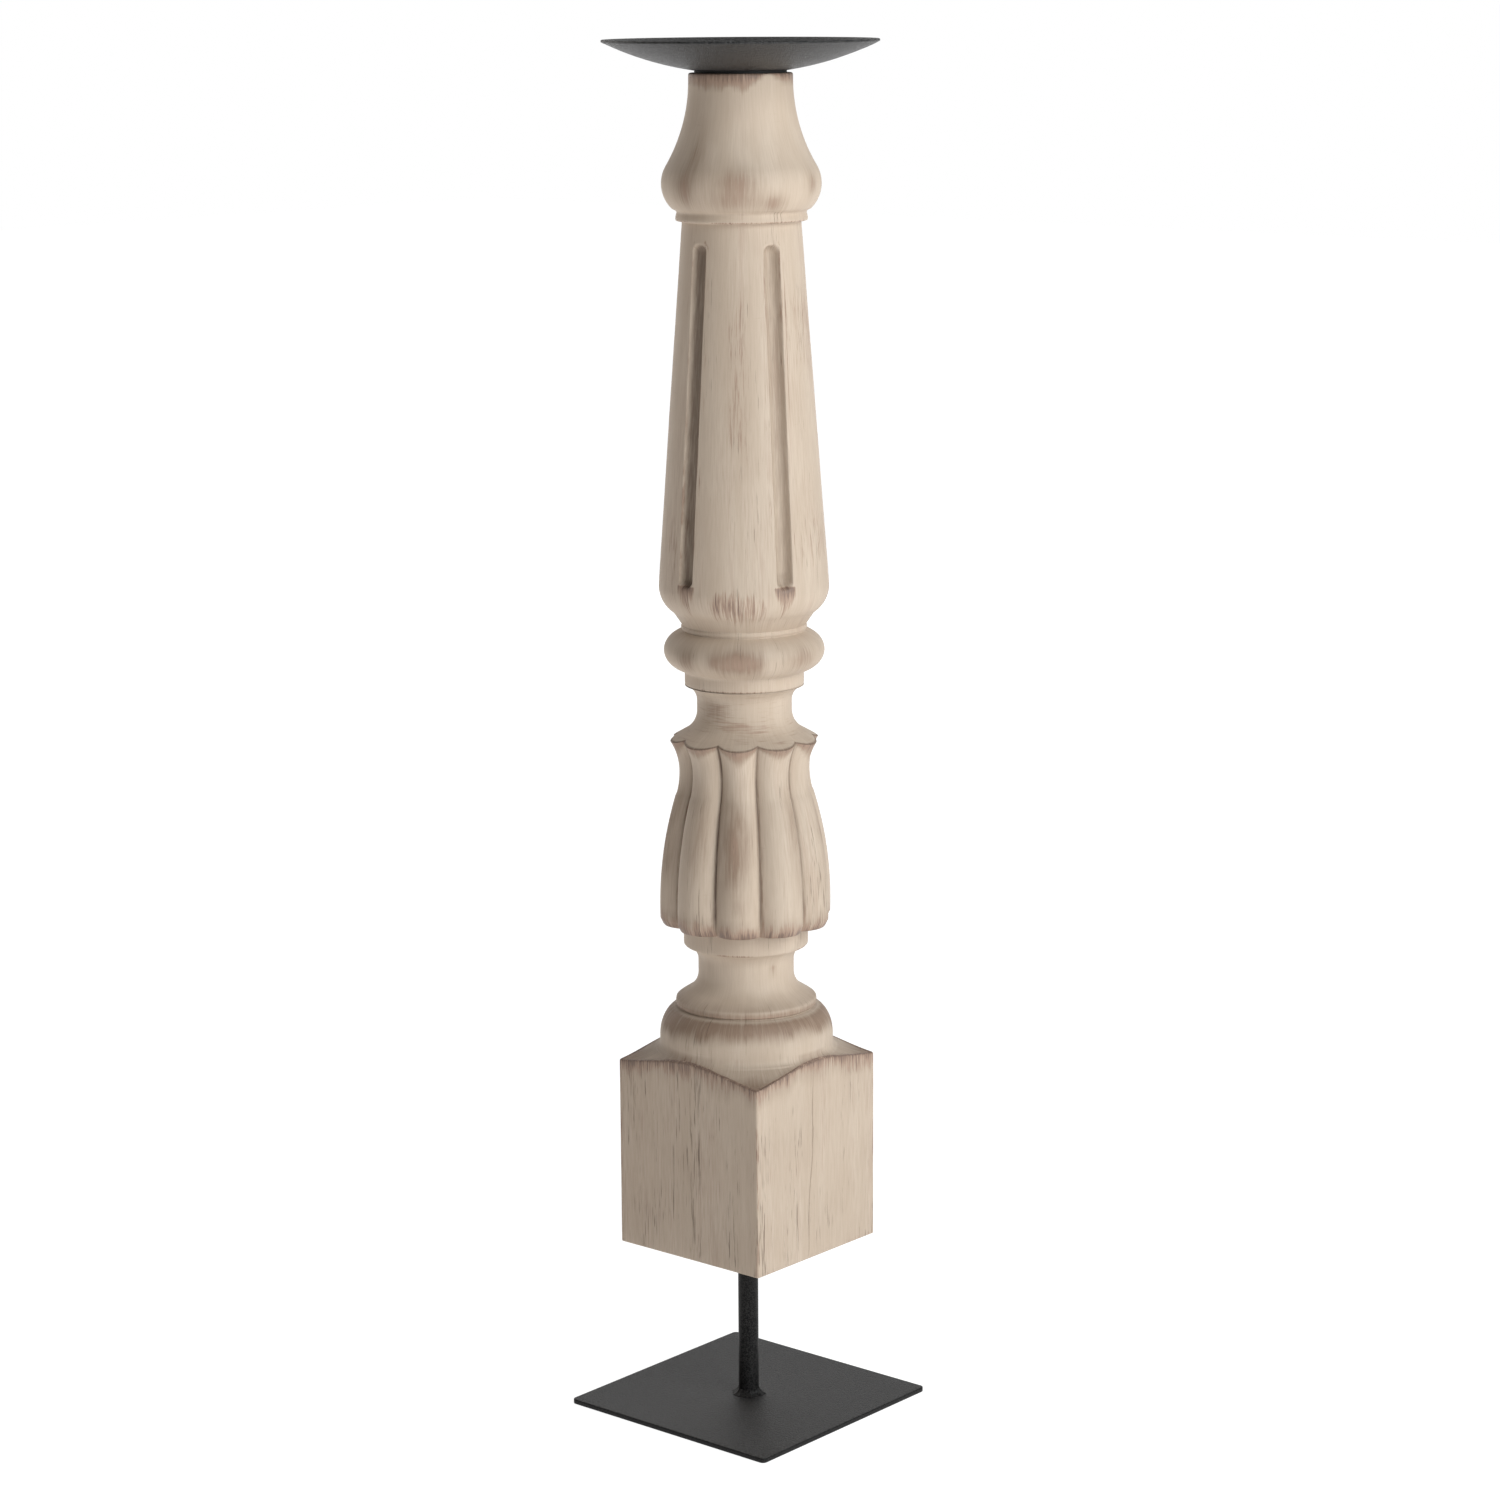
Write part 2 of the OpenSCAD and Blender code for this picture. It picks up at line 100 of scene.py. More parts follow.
# ---------------------------------------------------------------- node materials
class Tree:
    """A short way to write a node tree."""

    def __init__(self, name):
        self.mat = bpy.data.materials.new(name)
        self.mat.use_nodes = True
        self.nodes = self.mat.node_tree.nodes
        self.links = self.mat.node_tree.links
        self.nodes.clear()
        self.shader = self.add("ShaderNodeBsdfPrincipled")
        self.links.new(self.shader.outputs[0], self.add("ShaderNodeOutputMaterial").inputs[0])

    def add(self, kind, **props):
        n = self.nodes.new(kind)
        for k, v in props.items():
            setattr(n, k, v)
        return n

    def put(self, value, socket):
        if isinstance(value, bpy.types.NodeSocket):
            self.links.new(value, socket)
        else:
            socket.default_value = value

    def math(self, op, a, b, clamp=False):
        n = self.add("ShaderNodeMath", operation=op, use_clamp=clamp)
        for v, s in zip((a, b), n.inputs):
            self.put(v, s)
        return n.outputs[0]

    def noise(self, scale, detail, rough=0.5, place=None):
        """Noise with a cell of about 1 at scale 1; scale is in cells per metre on x, y and z."""
        v = self.add("ShaderNodeVectorMath", operation="MULTIPLY")
        self.put(place or self.place, v.inputs[0])
        v.inputs[1].default_value = scale
        n = self.add("ShaderNodeTexNoise")
        self.put(v.outputs[0], n.inputs["Vector"])
        n.inputs["Scale"].default_value = 1
        n.inputs["Detail"].default_value = detail
        n.inputs["Roughness"].default_value = rough
        return n.outputs["Fac"]

    def step(self, value, low, high, to_low=0.0, to_high=1.0):
        n = self.add("ShaderNodeMapRange", interpolation_type="SMOOTHSTEP")
        self.put(value, n.inputs["Value"])
        ends = {"From Min": low, "From Max": high, "To Min": to_low, "To Max": to_high}
        for k, v in ends.items():
            self.put(v, n.inputs[k])
        return n.outputs["Result"]

    def mix(self, fac, a, b):
        n = self.add("ShaderNodeMix", data_type="RGBA")
        self.put(fac, n.inputs["Factor"])
        for v, s in ((a, n.inputs[6]), (b, n.inputs[7])):
            self.put((*v, 1) if isinstance(v, tuple) else v, s)
        return n.outputs[2]

    def mask(self, name):
        return self.add("ShaderNodeAttribute", attribute_name=name).outputs["Fac"]

    def bump(self, height, distance, strength):
        n = self.add("ShaderNodeBump")
        n.inputs["Strength"].default_value = strength
        n.inputs["Distance"].default_value = distance
        self.put(height, n.inputs["Height"])
        return n.outputs["Normal"]

    @property
    def place(self):
        if not hasattr(self, "_place"):
            self._place = self.add("ShaderNodeTexCoord").outputs["Object"]
        return self._place


def washed_wood():
    """Brown wood under a cream wash: masks give where the wash is rubbed through, and painted
    shade.
    """
    t = Tree("washed_wood")
    skin = t.add("ShaderNodeAttribute", attribute_name="skin").outputs["Vector"]
    fine = t.noise((1500, 1500, 110), 3, 0.62, place=skin)
    streak = t.noise((480, 480, 40), 2, 0.55, place=skin)
    hair = t.noise((2600, 2600, 90), 2, 0.6, place=skin)
    cloud = t.noise((60, 60, 40), 2, 0.5)
    band = t.noise((150, 150, 9), 2, 0.5)
    across = t.noise((110, 110, 1500), 3, 0.6)

    def off(value, amount):
        """A noise moved to the middle and scaled."""
        return t.math("MULTIPLY", t.math("SUBTRACT", value, 0.5), amount)

    # How far the wash is rubbed through, with a ragged edge along the grain
    ragged = t.math("ADD", t.math("ADD", off(fine, 2.0), off(streak, 1.0)), off(hair, 0.9))
    wear = t.mask("wear")
    reach = t.math("MULTIPLY", t.mask("grain"), t.step(wear, 0.0, 0.35))
    level = t.math("ADD", wear, t.math("MULTIPLY", ragged, reach))
    worn = t.step(level, 0.16, 1.12)
    # Soft patches, where the wash is thin but still there; on the block's left faces they are also
    # painted shade
    soft = t.math("MULTIPLY", t.mask("soft"),
                  t.math("ADD", 0.80, t.math("ADD", off(fine, 1.2), off(streak, 0.8))), clamp=True)
    # Rubbing round the post, as from a cloth held against it in the lathe
    rubbed = t.step(t.math("ADD", t.mask("rub"), off(across, 2.6)), 0.40, 1.20)
    # Thin places of the wash, where the brown shows as hair lines
    thin = t.step(t.math("ADD", hair, off(band, 0.9)), 0.50, 0.78)
    # Open pores of the wood, in clusters
    open_grain = t.noise((2100, 2100, 75), 2, 0.6, place=skin)
    cluster = off(t.noise((110, 110, 9), 2, place=skin), 0.55)
    pore = t.step(t.math("ADD", t.math("ADD", open_grain, cluster), t.mask("pores")), 0.68, 0.78)
    speck = t.step(t.math("ADD", t.noise((900, 900, 700), 2, 0.6), t.mask("specks")), 0.80, 0.86)

    cream = t.mix(t.step(band, 0.3, 0.7), (0.520, 0.418, 0.325), (0.575, 0.475, 0.378))
    cream = t.mix(t.step(cloud, 0.35, 0.75, 0, 0.5), cream, (0.490, 0.386, 0.296))
    cream = t.mix(t.step(fine, 0.35, 0.7, 0, 0.25), cream, (0.400, 0.308, 0.234))
    tan = t.mix(t.step(streak, 0.3, 0.7), (0.400, 0.275, 0.205), (0.340, 0.232, 0.172))
    umber = t.mix(t.step(hair, 0.35, 0.62), (0.245, 0.165, 0.125), (0.150, 0.100, 0.078))
    colour = t.mix(t.math("MULTIPLY", thin, t.math("MULTIPLY", t.mask("grain"), 0.42)), cream, tan)
    colour = t.mix(t.math("MULTIPLY", rubbed, 0.80), colour, tan)
    colour = t.mix(t.math("MULTIPLY", soft, 0.95), colour, (0.262, 0.178, 0.125))
    colour = t.mix(t.step(worn, 0.0, 0.6, 0, 0.9), colour, tan)
    colour = t.mix(t.step(worn, 0.5, 1.0, 0, 0.8), colour, umber)
    dark = t.math("MAXIMUM", t.math("MULTIPLY", pore, 0.66), t.math("MULTIPLY", speck, 0.7))
    # Painted shade in creases, hollows and flutes, with the dark line of the drying check, from
    # the dark mask, mixed in as dark brown
    painted_shade_and_check = t.math("MULTIPLY", t.mask("dark"), t.step(fine, 0.25, 0.6, 0.55, 1.0))
    colour = t.mix(t.math("MAXIMUM", dark, painted_shade_and_check), colour, (0.118, 0.078, 0.053))
    t.put(colour, t.shader.inputs["Base Color"])
    t.put(t.step(worn, 0, 1, 0.60, 0.47), t.shader.inputs["Roughness"])
    t.shader.inputs["Specular IOR Level"].default_value = 0.32
    grain = t.math("SUBTRACT", t.math("MULTIPLY", hair, 0.5),
                   t.math("ADD", pore, t.math("MULTIPLY", worn, 0.35)))
    t.put(t.bump(grain, 0.00012, 0.6), t.shader.inputs["Normal"])
    return t.mat


def powder_coat(name, gloss, light, grit, depth):
    """Matt black powder coat: grit in cells per metre, depth of its relief in metres."""
    t = Tree(name)
    sand = t.noise((grit, grit, grit), 3, 0.7)
    fine = t.noise((2600, 2600, 2600), 1, 0.5)
    cloud = t.noise((45, 45, 45), 2, 0.5)
    tone = t.mix(t.step(sand, 0.44, 0.58), (0.0040 * light, 0.0040 * light, 0.0043 * light),
                 (0.040 * light, 0.038 * light, 0.037 * light))
    tone = t.mix(t.step(cloud, 0.35, 0.7, 0, 0.35), tone, (0.018, 0.0175, 0.017))
    t.put(tone, t.shader.inputs["Base Color"])
    t.put(t.step(sand, 0.3, 0.7, 0.38, 0.52), t.shader.inputs["Roughness"])
    t.shader.inputs["Specular IOR Level"].default_value = gloss
    height = t.math("ADD", sand, t.math("MULTIPLY", fine, 0.35))
    t.put(t.bump(height, depth, 1.0), t.shader.inputs["Normal"])
    return t.mat


def zinc_steel():
    """Zinc-plated steel with fine turning marks."""
    t = Tree("zinc_steel")
    marks = t.noise((300, 300, 4200), 2, 0.6)
    bloom = t.noise((700, 700, 700), 3, 0.6)
    t.put(t.mix(t.step(bloom, 0.3, 0.7), (0.56, 0.55, 0.51), (0.68, 0.68, 0.67)),
          t.shader.inputs["Base Color"])
    t.shader.inputs["Metallic"].default_value = 1
    t.put(t.step(marks, 0.3, 0.7, 0.26, 0.42), t.shader.inputs["Roughness"])
    t.put(t.bump(marks, 0.00003, 0.4), t.shader.inputs["Normal"])
    return t.mat


def rubber():
    """Black rubber sheet with a dusty, slightly mottled skin."""
    t = Tree("rubber")
    mottle = t.noise((600, 600, 600), 3, 0.6)
    t.put(t.mix(t.step(mottle, 0.3, 0.7), (0.010, 0.010, 0.010), (0.020, 0.019, 0.018)),
          t.shader.inputs["Base Color"])
    t.put(t.step(mottle, 0.3, 0.7, 0.68, 0.82), t.shader.inputs["Roughness"])
    t.put(t.bump(mottle, 0.00005, 0.5), t.shader.inputs["Normal"])
    return t.mat


def floor_white():
    """Pale floor that runs into the white of the backdrop away from the object."""
    t = Tree("floor_white")
    grain = t.noise((260, 260, 260), 2, 0.5)
    t.put(t.mix(grain, (0.34, 0.34, 0.34), (0.38, 0.38, 0.38)), t.shader.inputs["Base Color"])
    t.shader.inputs["Roughness"].default_value = 0.8
    t.shader.inputs["Specular IOR Level"].default_value = 0.1
    far = t.add("ShaderNodeVectorMath", operation="LENGTH")
    t.put(t.place, far.inputs[0])
    t.shader.inputs["Emission Color"].default_value = (1, 1, 1, 1)
    t.put(t.step(far.outputs["Value"], 0.3, 3.0, 0.88, 1.03),
          t.shader.inputs["Emission Strength"])
    return t.mat


# ---------------------------------------------------------------- mesh helpers
def smooth(x, low, high):
    s = np.clip((x - low) / (high - low), 0, 1)
    return s * s * (3 - 2 * s)


def hump(x, centre, half):
    return np.exp(-((x - centre) / half) ** 2)


def turn_to(a, centre):
    """Signed angle from centre to a."""
    return (a - centre + 180) % 360 - 180


class Field:
    """Smooth random field round the post, the same each run: about 0 with a spread of 1."""

    def __init__(self, seed, cells, cell_mm):
        self.grid = np.random.default_rng(seed).uniform(-1, 1, (80, cells))
        self.cells, self.cell_mm = cells, cell_mm

    def __call__(self, a, z):
        u = (a % 360) / 360 * self.cells
        v = np.clip(z / self.cell_mm, 0, 78.5)
        i, j = np.floor(u).astype(int), np.floor(v).astype(int)
        fu, fv = smooth(u - i, 0, 1), smooth(v - j, 0, 1)
        n = self.cells
        low = self.grid[j, i % n] * (1 - fu) + self.grid[j, (i + 1) % n] * fu
        high = self.grid[j + 1, i % n] * (1 - fu) + self.grid[j + 1, (i + 1) % n] * fu
        return low * (1 - fv) + high * fv


def add_piece(name, verts, faces, mat, replaces, masks=None):
    mesh = bpy.data.meshes.new(name)
    mesh.from_pydata((np.asarray(verts) * MM).tolist(), [], faces)
    mesh.validate()
    mesh.polygons.foreach_set("use_smooth", [True] * len(mesh.polygons))
    for key, values in (masks or {}).items():
        if np.ndim(values) == 2:
            mesh.attributes.new(key, "FLOAT_VECTOR", "POINT").data.foreach_set(
                "vector", np.asarray(values, "f").reshape(-1))
        else:
            mesh.attributes.new(key, "FLOAT", "POINT").data.foreach_set(
                "value", np.asarray(values, "f"))
    mesh.materials.append(mat)
    mesh.update()
    obj = add_object(name, mesh)
    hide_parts(replaces)
    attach(obj, "root")
    return obj


def grid_faces(rows, cols):
    """Quads of a closed grid: each row goes once round."""
    j, k = np.meshgrid(np.arange(rows - 1), np.arange(cols), indexing="ij")
    n = (k + 1) % cols
    quads = np.stack([j * cols + k, j * cols + n, (j + 1) * cols + n, (j + 1) * cols + k], -1)
    return quads.reshape(-1, 4).tolist()


def lathe(name, path, steps, mat, replaces, bend):
    """A ring from a closed outline of (radius, level) in mm, changed by bend(a, r, z)."""
    a = np.arange(steps) * 360 / steps
    path = np.asarray(path, float)
    r = np.repeat(path[:, :1], steps, 1)
    z = np.repeat(path[:, 1:], steps, 1)
    r, z = bend(a[None, :] + 0 * r, r, z)
    rad = np.radians(a)[None, :]
    verts = np.stack([r * np.sin(rad), -r * np.cos(rad), z], -1).reshape(-1, 3)
    faces = grid_faces(len(path), steps)
    last = (len(path) - 1) * steps
    k = np.arange(steps)
    n = (k + 1) % steps
    faces += np.stack([last + k, last + n, n, k], -1).tolist()
    add_piece(name, verts, faces, mat, replaces)


def arc(cx, cz, r, start, end, steps):
    """Points of (radius, level) along an arc between two angles in degrees."""
    t = np.radians(np.linspace(start, end, steps + 1))
    return [(cx + r * c, cz + r * s) for c, s in zip(np.cos(t), np.sin(t))]


# ---------------------------------------------------------------- the wooden post
HALF = 35.5                       # half the side of the block
# Valleys between the reeds, and middles of the flutes. As on the photographed sample, the
# valleys are a little uneven and the flutes are turned by 2.5 degrees. The CAD keeps both even.
VALLEYS = np.array([-20.5, 17.6, 51.2, 88.5, 126, 162, 198, 234, 270.5, 305.5])
FLUTES = np.arange(5) * 72.0 - 2.5
FLUTE_HALF, FLUTE_TOOL = 3.5, 3.5  # half a flute's width, and the radius of its cutter
FLUTE_ENDS = (267.0, 388.0)       # levels of the centres of the flutes' round ends
# Degrees from a flute's middle: the column that is moved to its edge, and where moving ends
FLUTE_COL, FLUTE_REACH = 7.5, 14.0
CHECK_Y = -3.6                    # where the drying check runs on the +X face
COLUMN_STEP = 1.2                 # degrees between columns
REED_DEPTH = 0.13                 # depth of a valley, as a share of the crest's radius
FOOT_STEP = 0.42                  # fine step where the half round's foot meets the shoulder
# Outlines in mm, as the radius, the level and the radius of the arc
NECK_R, LIP_R = 18.6, 27.4        # lower cove, and the lip under it
BULB_R, BULB_Z, BULB_ARC = 33.8, 137, 145
BULB_FOOT, BULB_FOOT_Z = 24.6, 129.2
WAIST_R, WAIST_Z, WAIST_ARC, MOUTH_ARC = 25.6, 189.5, 32, 22
FLARE_X, FLARE_Z, FLARE_ARC = 27.2, 212.8, 9
CONE = math.radians(30)           # slope of the flare and of the lip
HIGH_BAND_R = 22.9
RING_X, RING_Z, RING_W, RING_H = 19.9, 236.3, 11, 8.3  # oval: its middle and half sizes
SHAFT_R, SHAFT_Z, SHAFT_TOP_R, SHAFT_TOP_Z = 32.6, 261.2, 22.4, 399.4
VASE_R, VASE_Z, VASE_ARC, VASE_NECK_R, VASE_NECK_ARC = 30.1, 413.2, 13.0, 19.6, 62.5
SKIN_R = 33.0                     # cylinder that the streaks are drawn on, above the block
post_lo, post_hi = box_mm("turned_post")
BASE = post_lo[2]                 # level of the block's underside
POST_H = post_hi[2] - BASE


def columns():
    """Angles of the mesh columns, with more at corners, valleys, flutes and the check."""
    extra = [c + d for c in (45, 135, 225, 315) for d in (-1.6, -0.7, -0.35, 0.35, 0.7, 1.6)]
    extra += [v + d for v in VALLEYS for d in (-0.5, 0, 0.5)]
    extra += [f + d for f in FLUTES for d in (-7.8, -7.5, -7.2, 7.2, 7.5, 7.8)]
    a = np.arange(300) * COLUMN_STEP
    a = a[np.abs(turn_to(a[:, None], VALLEYS[None, :])).min(1) > 0.45]
    offsets = np.array([-0.7, -0.28, 0, 0.28, 0.7])
    check = 90 + np.degrees(np.arctan(offsets / HALF + CHECK_Y / HALF))
    a = a[np.abs(turn_to(a, check[2])) > 1.3]
    a = np.unique(np.round(np.concatenate([a, np.array(extra) % 360, check]), 4))
    keep = np.concatenate([[True], np.diff(a) > 0.12])
    return a[keep]


A = columns()
RAD = np.radians(A)
POWER = 110.0                     # how crisp the upright edges of the block are
SQUARE = HALF / (np.abs(np.cos(RAD)) ** POWER + np.abs(np.sin(RAD)) ** POWER) ** (1 / POWER)

# Shoulder of the block: a hollow bend through the corners, and the fillet under the half round
BLOCK_H, RISE, SLOPE = 74.5, 4.6, math.radians(7)
CORNER = HALF * math.sqrt(2)
RUN = CORNER - HALF
BEND_R = math.hypot(RUN, RISE) / (2 * math.sin(math.atan2(RISE, RUN) - SLOPE))
BEND = (CORNER + BEND_R * math.sin(SLOPE), BLOCK_H + BEND_R * math.cos(SLOPE))
ROUND_R, FILLET = 33.8, 2.6
FILLET_X = ROUND_R + FILLET
FILLET_Z = BEND[1] - math.sqrt((BEND_R - FILLET) ** 2 - (FILLET_X - BEND[0]) ** 2)
MEET_X = BEND[0] + (FILLET_X - BEND[0]) * BEND_R / (BEND_R - FILLET)


def shoulder(r):
    on_bend = BEND[1] - np.sqrt(np.maximum(BEND_R ** 2 - (r - BEND[0]) ** 2, 0))
    on_fillet = FILLET_Z - np.sqrt(np.maximum(FILLET ** 2 - (FILLET_X - r) ** 2, 0))
    return np.where(r < MEET_X, on_fillet, on_bend)


def reed_at(a):
    """Place across a reed from -1 to 1 (0 on its crest), and which reed it is."""
    v = np.concatenate([VALLEYS, VALLEYS[:1] + 360])
    x = (a - v[0]) % 360 + v[0]
    i = np.clip(np.searchsorted(v, x, side="right") - 1, 0, 9)
    return 2 * (x - v[i]) / (v[i + 1] - v[i]) - 1, i


REED_U, REED_I = reed_at(A)


def reed_share():
    """Radius as a share of the crest's, each reed being one round, eased at the valleys."""
    half = math.radians(18)
    v = 1 - REED_DEPTH
    w, rise = v * math.sin(half), 1 - v * math.cos(half)
    big = (w * w + rise * rise) / (2 * rise)
    off = 1 - big
    t = REED_U * half
    return off * np.cos(t) + np.sqrt(big ** 2 - (off * np.sin(t)) ** 2)


SHARE = reed_share()
# Angle at which the bulb's arc meets the waist's
MEET_A = math.degrees(math.atan2(WAIST_Z - BULB_Z, (WAIST_R + WAIST_ARC) - (BULB_R - BULB_ARC)))
rows, marks = [], {}              # rows of the mesh, and the first row of each named part


def add_row(r, z, mark=None):
    if mark:
        marks[mark] = len(rows)
    rows.append([np.broadcast_to(x, A.shape).astype(float) for x in (r, z)])


def add_path(path, mark=None):
    for i, (r, z) in enumerate(path):
        add_row(r, z, mark if i == 0 else None)


def build_rows():
    # Underside and the upright faces of the block
    add_row(9.0, 1.2, "bottom")
    add_row(9.05, 0)
    for f in (0.25, 0.5, 0.75, 0.92):
        add_row(9 + (SQUARE - 9) * f, 0)
    add_row(SQUARE - 0.5, 0)
    add_row(SQUARE - 0.14, 0.14)
    add_row(SQUARE, 0.5, "side")
    edge = shoulder(SQUARE)
    for f in np.linspace(0, 1, 15)[1:]:
        add_row(SQUARE, 0.5 + (edge - 14 - 0.5) * f)
    for drop in (11, 8.5, 6.5, 5, 3.8, 2.8, 1.9, 1.1, 0.7):
        add_row(SQUARE, edge - drop)
    add_row(SQUARE - 0.10, edge - 0.32)
    add_row(SQUARE - 0.36, edge - 0.06, "edge")
    inner = SQUARE - 0.85
    outside = np.minimum(MEET_X + 0.5, inner - 0.3 * (inner - ROUND_R))
    inside = np.minimum(MEET_X, inner - 0.6 * (inner - ROUND_R))
    stops = [inner + (outside - inner) * t for t in np.linspace(0, 1, 13)]
    stops += [outside + (inside - outside) * t for t in (0.33, 0.67, 1)]
    stops += [inside + (ROUND_R - inside) * t for t in np.linspace(0, 1, 8)[1:]]
    for i, r in enumerate(stops):
        step = FOOT_STEP * smooth(r, MEET_X, MEET_X + 0.45) * smooth(inner - MEET_X, 0.5, 3)
        add_row(r, shoulder(r) - 0.03 * smooth(r, ROUND_R, ROUND_R + 0.8) - step,
                "shoulder" if i == 0 else None)
    # Half round, lip, lower cove, band
    oval = [(25.8 + 8 * math.cos(t), 84 + 11.9 * math.sin(t))
            for t in np.radians(np.concatenate([[0, 4], np.linspace(10, 74, 12)]))]
    add_path([(ROUND_R, 82.8)] + oval, "half_round")
    add_path([(27.5, 95.62), (26.95, 95.8), (26.75, 95.95), (26.72, 96.15), (26.8, 96.3),
              (27.15, 96.42), (27.33, 96.6), (27.42, 96.9), (27.42, 97.6), (27.4, 98.2),
              (27.3, 98.8), (27.05, 99.15), (26.6, 99.5)], "lip")
    low_r, high_r = 8, 6          # arcs of the lower cove, below and above its neck
    foot = NECK_R + low_r * (1 - 0.5)
    level = 99.3 + (LIP_R - foot) * math.tan(CONE) + low_r * math.cos(CONE)
    add_path([(25.4, 100.3), (24.2, 101.05)])
    add_path(arc(NECK_R + low_r, level, low_r, 240, 180, 9), "low_cove")
    add_path(arc(NECK_R + high_r, 114.1, high_r, 180, 105, 7))
    add_path([(23.25, 120.0), (23.8, 120.2), (24.1, 120.55), (24.2, 121.1), (24.2, 123),
              (24.2, 125), (24.2, 127.5)], "low_band")
    # Reeded bulb: flat underside, eased foot, crest line, scalloped rim, flare
    add_row(24.25, 128.9)
    add_row(BULB_FOOT, BULB_FOOT_Z, "bulb")
    for f in (0.35, 0.75):
        add_row(BULB_FOOT + (31.3 * SHARE - BULB_FOOT) * f, 129.15 - 0.1 * f)
    crest = [(31.6, 129.0), (32.15, 129.15), (32.5, 129.5), (32.8, 130.0), (33.15, 130.8)]
    crest += arc(BULB_R - BULB_ARC, BULB_Z, BULB_ARC, -2.0, MEET_A, 18)
    crest += arc(WAIST_R + WAIST_ARC, WAIST_Z, WAIST_ARC, 180 + MEET_A, 180, 9)[1:]
    for i, (r, z) in enumerate(crest):
        add_row(r * SHARE, z, "reeds" if i == 0 else None)
    # The rim is where the reeds' mouth meets the flare's cone
    mouth_r, mouth_z = np.array(arc(WAIST_R + MOUTH_ARC, WAIST_Z, MOUTH_ARC, 180, 128, 60)).T
    steps = np.arange(len(mouth_r))
    tip_r = FLARE_X - FLARE_ARC * math.sin(CONE)
    tip_z = FLARE_Z - FLARE_ARC * math.cos(CONE)
    gap = (tip_z - (mouth_r[:, None] * SHARE - tip_r) * math.tan(CONE)) - mouth_z[:, None]
    cut = np.array([np.interp(0, -gap[:, k], steps) for k in range(len(A))])
    for t in (0.12, 0.25, 0.38, 0.5, 0.62, 0.72, 0.81, 0.88, 0.94, 0.975):
        add_row(np.interp(cut * t, steps, mouth_r) * SHARE, np.interp(cut * t, steps, mouth_z))
    rim_r = np.interp(cut, steps, mouth_r) * SHARE
    rim_z = np.interp(cut, steps, mouth_z)
    rim_in = 0.42
    add_row(rim_r - 0.12, rim_z - 0.12, "rim")
    add_row(rim_r - rim_in, rim_z + 0.12)
    for i, t in enumerate((0.12, 0.3, 0.5, 0.7, 0.87)):
        r = rim_r - rim_in + (tip_r - rim_r + rim_in) * t
        add_row(r, tip_z - (r - tip_r) * math.tan(CONE), "flare" if i == 0 else None)
    add_path(arc(FLARE_X, FLARE_Z, FLARE_ARC, 240, 180, 9))
    add_path(arc(24.5, 216.6, 6.3, 180, 105, 7), "high_cove")
    add_path([(22.0, 222.75), (22.5, 222.9), (22.8, 223.2), (HIGH_BAND_R, 223.8),
              (HIGH_BAND_R, 225.4)], "high_band")
    # Ring, fillet, foot of the shaft
    foot_a = math.degrees(math.acos((HIGH_BAND_R - RING_X) / RING_W))
    top_a = math.degrees(math.acos((23.9 - RING_X) / RING_W))
    ring = [(RING_X + RING_W * math.cos(t), RING_Z + RING_H * math.sin(t))
            for t in np.radians(np.linspace(-foot_a, top_a, 25))]
    foot_z = ring[0][1]
    add_path([(HIGH_BAND_R, foot_z - 1.2), (22.85, foot_z - 0.4)] + ring[1:], "ring")
    add_path([(23.75, 244.15), (23.9, 244.5), (24.2, 244.8), (24.2, 245.6), (23.95, 246.05),
              (23.75, 246.25)], "fillet")
    add_path([(24.0, 246.5)] + arc(20.6, SHAFT_Z, 12, -62, 0, 12)[1:], "shaft")


def flute_angles(r, z):
    """Columns moved so that one runs along each edge of every flute."""
    a = np.broadcast_to(A, r.shape).copy()
    edge = np.degrees(FLUTE_HALF / r)
    blend = smooth(z, 249, 256) * (1 - smooth(z, 394, 398))
    for f in FLUTES:
        rel = turn_to(A, f)[None, :] + 0 * r
        size = np.abs(rel)
        inside = size * edge / FLUTE_COL
        outside = edge + (size - FLUTE_COL) * (FLUTE_REACH - edge) / (FLUTE_REACH - FLUTE_COL)
        new = np.where(size <= FLUTE_COL, inside, outside)
        a = np.where(size < FLUTE_REACH, a + np.sign(rel) * (new - size) * blend, a)
    return a


def flute_cut(a, r, z):
    """How far the flutes go in at each point, and how far the point is from their edge."""
    depth, near = np.zeros_like(r), np.full_like(r, 99.0)
    for f in FLUTES:
        u = np.radians(turn_to(a, f)) * r
        past = np.maximum(np.maximum(FLUTE_ENDS[0] - z, z - FLUTE_ENDS[1]), 0)
        dist = np.hypot(u, past)
        cut = np.sqrt(np.maximum(FLUTE_TOOL ** 2 - dist ** 2, 0)) - 0.1
        depth = np.maximum(depth, np.maximum(cut, 0))
        near = np.minimum(near, dist - FLUTE_HALF)
    return depth, near


